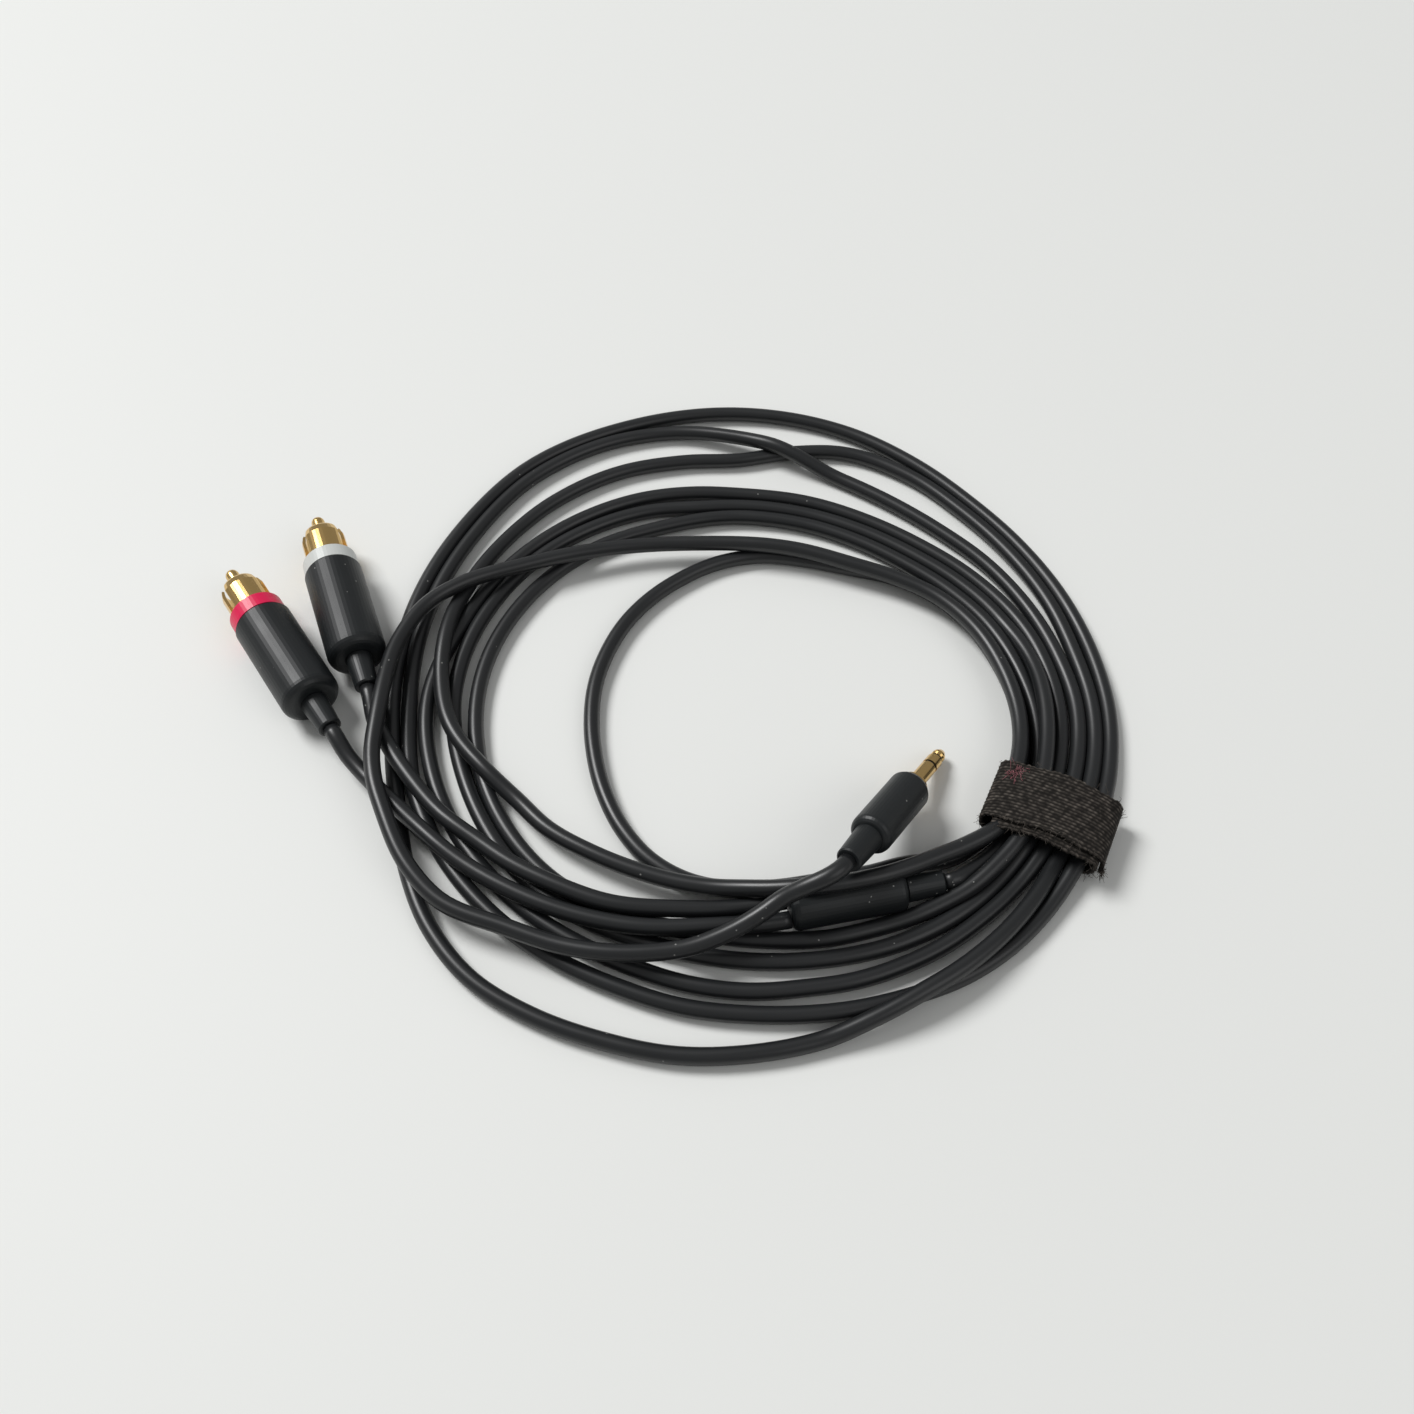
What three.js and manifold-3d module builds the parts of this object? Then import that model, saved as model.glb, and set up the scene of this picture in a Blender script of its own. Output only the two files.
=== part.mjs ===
// A coiled stereo audio lead: a 3.5 mm plug at one end, two phono plugs at the other,
// and a moulded junction where the round cord divides. Eight turns of cord lie on the
// table, gathered at one side by a hook and loop tie. Millimetres, +Z up, table at z = 0.

import * as THREE from 'three';
import { mergeVertices } from 'three/addons/utils/BufferGeometryUtils.js';
import Module from 'manifold-3d';

const wasm = await Module();
wasm.setup();

// Clearances between separate pieces
const SIDE_GAP = 0.3;
const SEAM_GAP = 0.2;

// Cord
const CORD_DIAMETER = 3.6;
const CORD_SIDES = 8;
const CORD_STEP = 11;
const CORD_LEAD_OUT = 2;

// 3.5 mm stereo plug
const JACK_DIAMETER = 3.5;
const JACK_LENGTH = 14;
const JACK_TIP_LENGTH = 3.1;
const JACK_TIP_DIAMETER = 3;
const JACK_NOSE_DIAMETER = 2;
const JACK_NOSE_ROUNDING = 0.3;
const JACK_NECK_DIAMETER = 2.4;
const JACK_RING_LENGTH = 2.7;
const JACK_RING_TAIL = 2;
const JACK_INSULATOR_LENGTH = 0.35;
const JACK_INSULATOR_DIAMETER = 3.1;
const JACK_GROOVE_GAP = 0.15;
const JACK_ROD_DIAMETER = 0.8;
const JACK_TUBE_WALL = 0.3;
const JACK_COLLAR_DIAMETER = 6.2;
const JACK_COLLAR_LENGTH = 1.2;
const JACK_COLLAR_BEVEL = 0.6;
const STEREO_HOUSING_DIAMETER = 9;
const STEREO_HOUSING_LENGTH = 21;
const STEREO_FRONT_BEVEL = 1.8;
const STEREO_REAR_RADIUS = 1.5;
const STEREO_RELIEF_DIAMETER = 6.2;

// Phono plugs
const PHONO_HOUSING_DIAMETER = 13.3;
const PHONO_HOUSING_LENGTH = 27;
const PHONO_REAR_RADIUS = 2.2;
const PHONO_FRONT_BEVEL = 0.4;
const BAND_WALL = 0.9;
const BAND_LENGTH = 4;
const BAND_BEVEL = 0.5;
const SHELL_DIAMETER = 10.2;
const SHELL_WALL = 0.8;
const SHELL_REACH = 8.6;
const SHELL_MOUTH_DIAMETER = 9.3;
const SHELL_MOUTH_TAPER = 2.2;
const SHELL_LIP = 0.5;
const SHELL_SLOTS = 3;
const SHELL_SLOT_WIDTH = 2.1;
const SHELL_SLOT_DEPTH = 7.6;
const SHELL_SLOT_FROM_TOP = 58;
const PIN_DIAMETER = 3.2;
const PIN_REACH = 6;
const PHONO_INSULATOR_LENGTH = 5.5;
const PHONO_RELIEF_DIAMETER = 6;

// Strain reliefs
const RELIEF_TAPER = 0.8;
const RELIEF_LIP = 0.3;
const PHONO_RELIEF_LENGTH = 8.5;
const STEREO_RELIEF_LENGTH = 9;
const JUNCTION_RELIEF_LENGTH = 8;

// Junction
const JUNCTION_DIAMETER = 9;
const JUNCTION_LENGTH = 24;
const JUNCTION_END_RADIUS = 1.6;
const JUNCTION_RELIEF_DIAMETER = 6;
const BRANCH_SPACING = 4.3;

// Hook and loop tie
const STRAP_THICKNESS = 1;
const STRAP_WIDTH = 14.5;
const STRAP_ANGLE = -25;
const STRAP_OVERLAP_START = 25;
const STRAP_OVERLAP_END = 165;

// Where things lie on the table: the coil's centre, and the frame's origin seen from it
const COIL_CENTRE = new THREE.Vector2(8, -2);
const LAYOUT_SHIFT = new THREE.Vector2(13.56, 2.91);

// Each plug is placed by one point on its axis, a heading and a dip, both in degrees
const STEREO_SHOULDER = new THREE.Vector3(43.87, -24.45, 6.27);
const STEREO_HEADING = 56.5;
const STEREO_DIP = -19.5;
const RED_REAR = new THREE.Vector2(-86.4, -3.5);
const RED_HEADING = 124.4;
const WHITE_REAR = new THREE.Vector2(-78.3, 8.6);
const WHITE_HEADING = 110.9;
const JUNCTION_CENTRE = new THREE.Vector2(28.2, -51);
const JUNCTION_HEADING = 11.6;

// The coil's outer shape at chosen angles round its centre: angle, inner and outer
// radius, and the height of its top. The floor rises where the tie passes under it.
const COIL_SHAPE = [
  [-33, 59, 81.2, 7.9],
  [-16, 59, 81.2, 7.9],
  [4, 59.8, 82, 7],
  [14, 61.3, 82.8, 6.4],
  [30, 60.6, 85, 6],
  [60, 58.8, 91, 5.8],
  [90, 56.9, 98, 5.6],
  [120, 57.8, 96, 4.8],
  [150, 57.8, 86.5, 4.6],
  [180, 57.2, 80.5, 3.4],
  [200, 57.2, 79.6, 3.3],
  [225, 57.2, 87.6, 3.3],
  [262, 58.4, 83.2, 3.5],
  [285, 58.6, 80.4, 5],
  [300, 61, 79.4, 5.4],
  [314, 63.8, 79.4, 6.6],
];
const COIL_SECTION_POINTS = 12;
const COIL_STEPS = 72;
const SECTION_POWER = 2.6;
const FLOOR_PLATEAU = 8;
const FLOOR_RUN_OUT = 12;

// Free stretches of cord, each a list of chosen points between its two ends
const STEREO_LEAD = [
  [22.5, -52.6, 17.2], [18.2, -54.4, 15.4],
  [14.5, -56.1, 13.4], [9.4, -58.6, 11.4], [3.1, -61.4, 9.6], [-3.3, -63.4, 8.6],
  [-12, -64.2, 8.2], [-20.7, -63.6, 7.8], [-27.8, -62.2, 7.4],
  [-40.1, -57.8, 7.2], [-53.7, -51.9, 7.4], [-60.1, -45.3, 8.2], [-67, -32.4, 9.4],
  [-70.1, -24.4, 9.8], [-71.5, -17.3, 9.7], [-71.7, -10.5, 9.8], [-71.6, 0.3, 9.4],
  [-69.9, 13.6, 8.4], [-64.5, 25, 7.8], [-55.5, 32.1, 7.4], [-44.2, 37, 7.2],
  [-30.5, 41.8, 6.6], [-16.1, 44.7, 6], [-3.5, 45.2, 5.8], [7.9, 43.9, 5.8],
  [21.5, 41.4, 5.9], [34, 37.2, 6], [44, 33.1, 6], [52.1, 27.6, 6], [59.6, 18.6, 6],
  [65.4, 6.6, 6],
];
const INNER_LOOP = [
  [64.9, 12.4, 1.8], [59.3, 21.8, 1.8], [52.6, 29.1, 1.8], [43.8, 34.8, 1.8], [34, 38.6, 1.8],
  [23.5, 41.8, 1.8], [12.8, 43.2, 1.8], [2.5, 41.3, 1.8], [-6.5, 36.4, 1.8], [-13.5, 30.2, 1.8],
  [-18.6, 23.5, 1.8], [-22.8, 14.5, 1.8], [-25.2, 5, 1.8], [-25.6, -5, 1.8], [-24.4, -15, 1.8],
  [-21.8, -24.5, 1.8], [-17.4, -33.6, 1.8], [-11.6, -40.6, 1.8], [-4, -45.3, 1.8],
  [5, -47.3, 1.8], [14.5, -46.9, 1.8], [24, -45.3, 1.8], [33.2, -43.6, 1.8], [41.8, -41.2, 1.9],
  [49.4, -38.6, 2.2], [52.4, -36.4, 2.6],
];
const INNER_TURN = [
  [-40.4, -26.8, 4.4], [-33.4, -34, 5], [-24.1, -40, 5.6], [-14.5, -44.4, 5.8],
  [-5, -47.4, 6], [2.2, -48.8, 6.6], [7.6, -49.6, 7.8], [13.2, -50.6, 9.6], [18.6, -51, 11],
  [24, -50.7, 11.3], [29.5, -49.8, 11.3], [35.2, -48.2, 10.9], [40.9, -45.7, 9.9], [46.4, -42.8, 8.9],
];
const RED_LEAD = [
  [-77.8, -15.9, 5.4], [-73.1, -21, 4.6], [-67.4, -27.1, 5.6],
  [-60.6, -33.8, 5.8], [-52.6, -41, 5.9], [-41, -48.6, 6.4], [-28.4, -54.2, 6.6],
  [-13.2, -57.6, 6.4], [-1.4, -57.6, 5.6], [7.5, -57, 4.8],
];
const WHITE_LEAD = [
  [-72.6, -7.6, 5.6], [-70.1, -11.9, 5.4], [-63.1, -22.4, 5.8],
  [-55.2, -31.6, 5.9], [-46.8, -38.2, 6.2], [-40, -43.2, 6.6], [-31, -48, 6.8],
  [-19.3, -52.3, 6.4], [-5.4, -53.2, 5.6], [5.6, -52.8, 4.8],
];
const JUNCTION_LEAD_END = [52.2, -45.4, 4.3];

const BLACK = 0x2b2c2d;
const GOLD = 0xd4b070;
const RED = 0xd8104f;
const PALE = 0xc9cccb;

const cable = new THREE.Group();

// One named mesh with its own material
function piece(name, geometry, color, roughness = 0.6, metalness = 0) {
  const material = new THREE.MeshStandardMaterial({ color, roughness, metalness });
  const mesh = new THREE.Mesh(geometry, material);
  mesh.name = name;
  return mesh;
}

// A turned piece about local Z: the profile holds pairs of radius and height
function turned(profile, sides) {
  const points = profile.map(([radius, height]) => new THREE.Vector2(radius, height));
  const geometry = new THREE.LatheGeometry(points, sides);
  geometry.rotateX(Math.PI / 2);
  return geometry;
}

// Points of an arc in a profile, with its angles in degrees
function arc(radius, height, size, from, to, steps = 4) {
  const points = [];
  for (let i = 0; i <= steps; i += 1) {
    const angle = THREE.MathUtils.degToRad(from + ((to - from) * i) / steps);
    points.push([radius + size * Math.cos(angle), height + size * Math.sin(angle)]);
  }
  return points;
}

// A tube about local Z between two heights
function sleeve(outer, inner, bottom, top, sides) {
  const wall = [[inner, bottom], [outer, bottom], [outer, top], [inner, top], [inner, bottom]];
  return turned(wall, sides);
}

// A mesh as a solid that can be cut, and back
function toSolid(geometry) {
  const bare = geometry.clone();
  bare.deleteAttribute('normal');
  bare.deleteAttribute('uv');
  const merged = mergeVertices(bare, 1e-4);
  const index = merged.index.array;
  const kept = [];
  for (let i = 0; i < index.length; i += 3) {
    const corners = new Set([index[i], index[i + 1], index[i + 2]]);
    if (corners.size === 3) kept.push(...corners);
  }
  const vertProperties = new Float32Array(merged.attributes.position.array);
  const triVerts = new Uint32Array(kept);
  return new wasm.Manifold(new wasm.Mesh({ numProp: 3, vertProperties, triVerts }));
}

function toGeometry(solid) {
  const mesh = solid.getMesh();
  const geometry = new THREE.BufferGeometry();
  geometry.setAttribute('position', new THREE.BufferAttribute(mesh.vertProperties, 3));
  geometry.setIndex(new THREE.BufferAttribute(mesh.triVerts, 1));
  geometry.computeVertexNormals();
  return geometry;
}

// The direction of a heading and a dip, both in degrees
function direction(heading, dip = 0) {
  const turn = THREE.MathUtils.degToRad(heading);
  const tilt = THREE.MathUtils.degToRad(dip);
  const level = Math.cos(tilt);
  return new THREE.Vector3(level * Math.cos(turn), level * Math.sin(turn), Math.sin(tilt));
}

// Two points of a cord where it leaves a piece, the second straight out along the axis
function leadOut(point, axis, reach, sense) {
  const start = point.clone().addScaledVector(axis, reach);
  return [start, start.clone().addScaledVector(axis, sense * CORD_LEAD_OUT)];
}

// A group whose local Z points along the axis of a plug, with its origin at a point
function aimed(point, axis, pieces) {
  const group = new THREE.Group();
  group.position.copy(point);
  group.quaternion.setFromUnitVectors(new THREE.Vector3(0, 0, 1), axis);
  group.add(...pieces);
  return group;
}

// A tapered sleeve of soft plastic behind a housing, below height 0
function strainRelief(name, diameter, length) {
  const root = diameter / 2;
  const end = root - RELIEF_TAPER / 2;
  const profile = [
    [0, -length], [end - RELIEF_LIP, -length], [end, -length + RELIEF_LIP],
    [root, -SEAM_GAP], [0, -SEAM_GAP],
  ];
  return piece(name, turned(profile, 32), BLACK);
}

// The plug's own group of contacts: tip, ring and sleeve with two insulators between
// them. Height 0 is the shoulder that meets the socket.
function jackContacts() {
  const radius = JACK_DIAMETER / 2;
  const rod = JACK_ROD_DIAMETER / 2;
  const tubeBore = rod + SIDE_GAP;
  const tube = tubeBore + JACK_TUBE_WALL;
  const sleeveBore = tube + SIDE_GAP;
  const insulator = JACK_INSULATOR_DIAMETER / 2;
  const root = -JACK_COLLAR_LENGTH - SEAM_GAP;

  const tipBack = JACK_LENGTH - JACK_TIP_LENGTH;
  const tipInsulatorFront = tipBack - JACK_GROOVE_GAP;
  const tipInsulatorBack = tipInsulatorFront - JACK_INSULATOR_LENGTH;
  const ringFront = tipInsulatorBack - JACK_GROOVE_GAP;
  const ringBack = ringFront - JACK_RING_LENGTH;
  const ringInsulatorFront = ringBack - JACK_GROOVE_GAP;
  const ringInsulatorBack = ringInsulatorFront - JACK_INSULATOR_LENGTH;
  const sleeveFront = ringInsulatorBack - JACK_GROOVE_GAP;
  const ringTail = sleeveFront - JACK_RING_TAIL;
  const nose = JACK_NOSE_DIAMETER / 2;
  const neck = JACK_NECK_DIAMETER / 2;
  const drum = JACK_TIP_DIAMETER / 2;
  const flank = JACK_TIP_LENGTH / 3;

  const tip = [
    [0, root + JACK_COLLAR_LENGTH], [rod, root + JACK_COLLAR_LENGTH], [rod, tipBack],
    [drum, tipBack], [neck, tipBack + flank / 2], [drum, tipBack + flank],
    [drum, tipBack + flank * 1.6], [nose, JACK_LENGTH - JACK_NOSE_ROUNDING],
    [nose - JACK_NOSE_ROUNDING, JACK_LENGTH], [0, JACK_LENGTH],
  ];
  const ring = [
    [tubeBore, ringTail], [tube, ringTail], [tube, ringBack], [radius, ringBack],
    [radius, ringFront], [tubeBore, ringFront], [tubeBore, ringTail],
  ];
  const collar = JACK_COLLAR_DIAMETER / 2;
  const sleeveContact = [
    [sleeveBore, -JACK_COLLAR_LENGTH], [collar, -JACK_COLLAR_LENGTH],
    [collar, -JACK_COLLAR_BEVEL], [collar - JACK_COLLAR_BEVEL, 0], [radius, 0],
    [radius, sleeveFront], [sleeveBore, sleeveFront], [sleeveBore, -JACK_COLLAR_LENGTH],
  ];
  const tipInsulator = sleeve(insulator, tubeBore, tipInsulatorBack, tipInsulatorFront, 32);
  const ringInsulator = sleeve(insulator, sleeveBore, ringInsulatorBack, ringInsulatorFront, 32);
  return [
    piece('stereo_plug_tip', turned(tip, 32), GOLD, 0.25, 1),
    piece('stereo_plug_tip_insulator', tipInsulator, BLACK),
    piece('stereo_plug_ring', turned(ring, 32), GOLD, 0.25, 1),
    piece('stereo_plug_ring_insulator', ringInsulator, BLACK),
    piece('stereo_plug_sleeve', turned(sleeveContact, 32), GOLD, 0.25, 1),
  ];
}

// The moulded grip behind the contacts, with a chamfered front and a rounded rear
function stereoHousing(front) {
  const radius = STEREO_HOUSING_DIAMETER / 2;
  const back = front - STEREO_HOUSING_LENGTH;
  const corner = STEREO_REAR_RADIUS;
  const profile = [
    [0, back],
    ...arc(radius - corner, back + corner, corner, -90, 0),
    [radius, front - STEREO_FRONT_BEVEL],
    [radius - STEREO_FRONT_BEVEL / 4, front - STEREO_FRONT_BEVEL / 2],
    [radius - STEREO_FRONT_BEVEL, front],
    [0, front],
  ];
  return piece('stereo_plug_housing', turned(profile, 40), BLACK);
}

// The whole 3.5 mm plug, and the point where its cord leaves it
function stereoPlug() {
  const axis = direction(STEREO_HEADING, STEREO_DIP);
  const front = -JACK_COLLAR_LENGTH - SEAM_GAP;
  const back = front - STEREO_HOUSING_LENGTH;
  const relief = strainRelief('stereo_plug_strain_relief', STEREO_RELIEF_DIAMETER, STEREO_RELIEF_LENGTH);
  relief.position.z = back;
  const group = aimed(STEREO_SHOULDER, axis, [...jackContacts(), stereoHousing(front), relief]);
  const reach = back - STEREO_RELIEF_LENGTH - SIDE_GAP;
  return { group, exit: leadOut(STEREO_SHOULDER, axis, reach, -1) };
}

// The outer contact of a phono plug: a springy shell split into petals by saw cuts, one
// of them at a chosen angle from the top towards the plug's left side
function phonoShell(name, base, heading) {
  const radius = SHELL_DIAMETER / 2;
  const bore = radius - SHELL_WALL;
  const mouth = SHELL_MOUTH_DIAMETER / 2;
  const front = base + SEAM_GAP + BAND_LENGTH + SHELL_REACH;
  const profile = [
    [bore, base], [radius, base], [radius, front - SHELL_MOUTH_TAPER],
    [mouth, front - SHELL_LIP], [mouth - SHELL_LIP / 2, front], [mouth - SHELL_WALL, front],
    [bore, front - SHELL_MOUTH_TAPER], [bore, base],
  ];
  let shell = toSolid(turned(profile, 40));
  for (let i = 0; i < SHELL_SLOTS; i += 1) {
    const turn = heading + 180 - SHELL_SLOT_FROM_TOP + (360 * i) / SHELL_SLOTS;
    const cut = new THREE.BoxGeometry(SHELL_DIAMETER, SHELL_SLOT_WIDTH, SHELL_SLOT_DEPTH * 2);
    cut.translate(SHELL_DIAMETER / 2, 0, front);
    cut.rotateZ(THREE.MathUtils.degToRad(turn));
    shell = shell.subtract(toSolid(cut));
  }
  return { mesh: piece(name, toGeometry(shell), GOLD, 0.25, 1), front };
}

// The centre pin: a plain rod with a rounded end
function phonoPin(name, base, shellFront) {
  const radius = PIN_DIAMETER / 2;
  const tip = shellFront + PIN_REACH;
  const profile = [[0, base], [radius, base], ...arc(0, tip - radius, radius, 0, 90, 5)];
  profile[profile.length - 1][0] = 0;
  return piece(name, turned(profile, 24), GOLD, 0.25, 1);
}

// The moulded grip of a phono plug: a plain cylinder with a rounded rear edge
function phonoHousing(name) {
  const radius = PHONO_HOUSING_DIAMETER / 2;
  const corner = PHONO_REAR_RADIUS;
  const profile = [
    [0, 0],
    ...arc(radius - corner, corner, corner, -90, 0, 5),
    [radius, PHONO_HOUSING_LENGTH - PHONO_FRONT_BEVEL],
    [radius - PHONO_FRONT_BEVEL, PHONO_HOUSING_LENGTH],
    [0, PHONO_HOUSING_LENGTH],
  ];
  return piece(name, turned(profile, 48), BLACK);
}

// The coloured band that marks the channel
function channelBand(name, base, color, metalness) {
  const bore = SHELL_DIAMETER / 2 + SIDE_GAP;
  const radius = bore + BAND_WALL;
  const front = base + BAND_LENGTH;
  const profile = [
    [bore, base], [radius, base], [radius, front - BAND_BEVEL], [radius - BAND_BEVEL, front],
    [bore, front], [bore, base],
  ];
  return piece(name, turned(profile, 48), color, 0.4, metalness);
}

// A whole phono plug on the table, and the point where its cord leaves it
function phonoPlug(prefix, rear, heading, color, metalness) {
  const axis = direction(heading);
  const point = new THREE.Vector3(rear.x, rear.y, PHONO_HOUSING_DIAMETER / 2);
  const base = PHONO_HOUSING_LENGTH + SEAM_GAP;
  const shell = phonoShell(`${prefix}_plug_shell`, base, heading);
  const insulatorRadius = SHELL_DIAMETER / 2 - SHELL_WALL - SIDE_GAP;
  const insulatorBore = PIN_DIAMETER / 2 + SIDE_GAP;
  const insulatorFront = base + PHONO_INSULATOR_LENGTH;
  const insulator = sleeve(insulatorRadius, insulatorBore, base, insulatorFront, 32);
  const pieces = [
    phonoPin(`${prefix}_plug_pin`, base, shell.front),
    piece(`${prefix}_plug_insulator`, insulator, BLACK),
    shell.mesh,
    channelBand(`${prefix}_plug_band`, base, color, metalness),
    phonoHousing(`${prefix}_plug_housing`),
    strainRelief(`${prefix}_plug_strain_relief`, PHONO_RELIEF_DIAMETER, PHONO_RELIEF_LENGTH),
  ];
  const group = aimed(point, axis, pieces);
  const reach = -PHONO_RELIEF_LENGTH - SIDE_GAP;
  return { group, exit: leadOut(point, axis, reach, -1) };
}

// The moulded junction: two branch cords leave its rear, the main cord its front
function junction() {
  const axis = direction(JUNCTION_HEADING);
  const side = new THREE.Vector3(-axis.y, axis.x, 0);
  const radius = JUNCTION_DIAMETER / 2;
  const half = JUNCTION_LENGTH / 2;
  const corner = JUNCTION_END_RADIUS;
  const profile = [
    [0, -half],
    ...arc(radius - corner, -half + corner, corner, -90, 0),
    ...arc(radius - corner, half - corner, corner, 0, 90),
    [0, half],
  ];
  const relief = strainRelief('junction_strain_relief', JUNCTION_RELIEF_DIAMETER, JUNCTION_RELIEF_LENGTH);
  relief.rotation.x = Math.PI;
  relief.position.z = half;
  const body = piece('junction_body', turned(profile, 40), BLACK);
  const centre = new THREE.Vector3(JUNCTION_CENTRE.x, JUNCTION_CENTRE.y, radius);
  const group = aimed(centre, axis, [body, relief]);
  const redSide = centre.clone().addScaledVector(side, -BRANCH_SPACING / 2);
  const whiteSide = centre.clone().addScaledVector(side, BRANCH_SPACING / 2);
  return {
    group,
    redExit: leadOut(redSide, axis, -half - SIDE_GAP, -1),
    whiteExit: leadOut(whiteSide, axis, -half - SIDE_GAP, -1),
    mainExit: leadOut(centre, axis, half + JUNCTION_RELIEF_LENGTH + SIDE_GAP, 1),
  };
}

// A free stretch of cord: an eight-sided section carried along a smooth curve
function freeCord(name, points) {
  const path = new THREE.CatmullRomCurve3(points, false, 'centripetal');
  const corners = [];
  for (let i = 0; i < CORD_SIDES; i += 1) {
    const angle = (2 * Math.PI * (i + 0.5)) / CORD_SIDES;
    corners.push(new THREE.Vector2(Math.cos(angle), Math.sin(angle)).multiplyScalar(CORD_DIAMETER / 2));
  }
  const steps = Math.max(2, Math.round(path.getLength() / CORD_STEP));
  const options = { steps, extrudePath: path, bevelEnabled: false };
  return piece(name, new THREE.ExtrudeGeometry(new THREE.Shape(corners), options), BLACK);
}

function toPoints(list) {
  return list.map(([x, y, z]) => new THREE.Vector3(x, y, z));
}

// A value of the coil's shape at an angle, smooth and without overshoot between rows
function coilValue(angle, column) {
  const rows = COIL_SHAPE;
  const count = rows.length;
  const turn = THREE.MathUtils.euclideanModulo(angle - rows[0][0], 360) + rows[0][0];
  let low = count - 1;
  while (rows[low][0] > turn) low -= 1;
  const at = (i) => {
    const wrap = Math.floor(i / count);
    return [rows[i - wrap * count][0] + 360 * wrap, rows[i - wrap * count][column]];
  };
  const slope = (i) => (at(i + 1)[1] - at(i)[1]) / (at(i + 1)[0] - at(i)[0]);
  const tangent = (i) => {
    const before = slope(i - 1);
    const after = slope(i);
    return before * after <= 0 ? 0 : (2 * before * after) / (before + after);
  };
  const [start, from] = at(low);
  const [end, to] = at(low + 1);
  const span = end - start;
  const t = (turn - start) / span;
  const blend = t * t * (3 - 2 * t);
  const pull = t * (1 - t) * span * (tangent(low) * (1 - t) - tangent(low + 1) * t);
  return from + (to - from) * blend + pull;
}

// How high the coil's underside lies, because the tie passes under the bundle
function coilFloor(angle) {
  const away = Math.abs(THREE.MathUtils.euclideanModulo(angle - STRAP_ANGLE + 180, 360) - 180);
  const rise = 1 - THREE.MathUtils.smoothstep(away, FLOOR_PLATEAU, FLOOR_PLATEAU + FLOOR_RUN_OUT);
  return (STRAP_THICKNESS + SIDE_GAP) * rise;
}

// A rounded box outline of half-width 1 between heights 0 and 1
function roundedSection(count) {
  const points = [];
  for (let i = 0; i < count; i += 1) {
    const angle = (2 * Math.PI * (i + 0.5)) / count;
    const across = Math.sign(Math.cos(angle)) * Math.abs(Math.cos(angle)) ** (2 / SECTION_POWER);
    const up = Math.sign(Math.sin(angle)) * Math.abs(Math.sin(angle)) ** (2 / SECTION_POWER);
    points.push([across, up]);
  }
  const top = Math.max(...points.map(([, up]) => up));
  return points.map(([across, up]) => [across, 0.5 + up / (2 * top)]);
}

// The turns as one ring, whose section follows the coil's shape round its centre
function coil() {
  const section = roundedSection(COIL_SECTION_POINTS);
  const unit = 10;
  const profile = [...section, section[0]].map(([across, up]) => [unit + across, up]);
  const geometry = turned(profile, COIL_STEPS);
  const place = geometry.attributes.position;
  for (let i = 0; i < place.count; i += 1) {
    const turn = Math.atan2(place.getY(i), place.getX(i));
    const angle = THREE.MathUtils.radToDeg(turn);
    const across = Math.hypot(place.getX(i), place.getY(i)) - unit;
    const inner = coilValue(angle, 1);
    const outer = coilValue(angle, 2);
    const floor = coilFloor(angle);
    const radius = (inner + outer) / 2 + (across * (outer - inner)) / 2;
    const height = floor + place.getZ(i) * (coilValue(angle, 3) - floor);
    place.setXYZ(i, COIL_CENTRE.x + radius * Math.cos(turn), COIL_CENTRE.y + radius * Math.sin(turn), height);
  }
  geometry.computeVertexNormals();
  return piece('cord_coil', geometry, BLACK);
}

// The hook and loop tie: a strap closed round the bundle, double where it overlaps
function tie() {
  const inner = coilValue(STRAP_ANGLE, 1);
  const outer = coilValue(STRAP_ANGLE, 2);
  const top = coilValue(STRAP_ANGLE, 3);
  const half = (outer - inner) / 2 + 1.5 * SIDE_GAP;
  const bottom = STRAP_THICKNESS;
  const height = top + SIDE_GAP - bottom;
  const section = roundedSection(48);
  const inside = [];
  const outside = [];
  section.forEach(([across, up], i) => {
    const angle = (360 * (i + 0.5)) / section.length;
    const signed = angle > 180 ? angle - 360 : angle;
    const doubled = signed > STRAP_OVERLAP_START && signed < STRAP_OVERLAP_END;
    const thickness = STRAP_THICKNESS * (doubled ? 2 : 1);
    inside.push(new THREE.Vector2(across * half, bottom + up * height));
    const reach = across * (half + thickness);
    outside.push(new THREE.Vector2(reach, up * (height + STRAP_THICKNESS + thickness)));
  });
  const shape = new THREE.Shape(outside);
  shape.holes.push(new THREE.Path(inside.reverse()));
  const band = new THREE.ExtrudeGeometry(shape, { depth: STRAP_WIDTH, steps: 1, bevelEnabled: false });
  band.translate(0, 0, -STRAP_WIDTH / 2);
  const outward = direction(STRAP_ANGLE);
  const up = new THREE.Vector3(0, 0, 1);
  const along = new THREE.Vector3().crossVectors(outward, up);
  const middle = outward.clone().multiplyScalar((inner + outer) / 2);
  const place = new THREE.Matrix4().makeBasis(outward, up, along);
  place.setPosition(middle.x + COIL_CENTRE.x, middle.y + COIL_CENTRE.y, 0);
  band.applyMatrix4(place);
  return piece('hook_and_loop_tie', band, 0x2a2724, 0.95);
}

// A branch from the exit of its plug, over its chosen points, to the junction
function branch(exit, list, end) {
  return [...exit, ...toPoints(list), end[1], end[0]];
}

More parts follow.
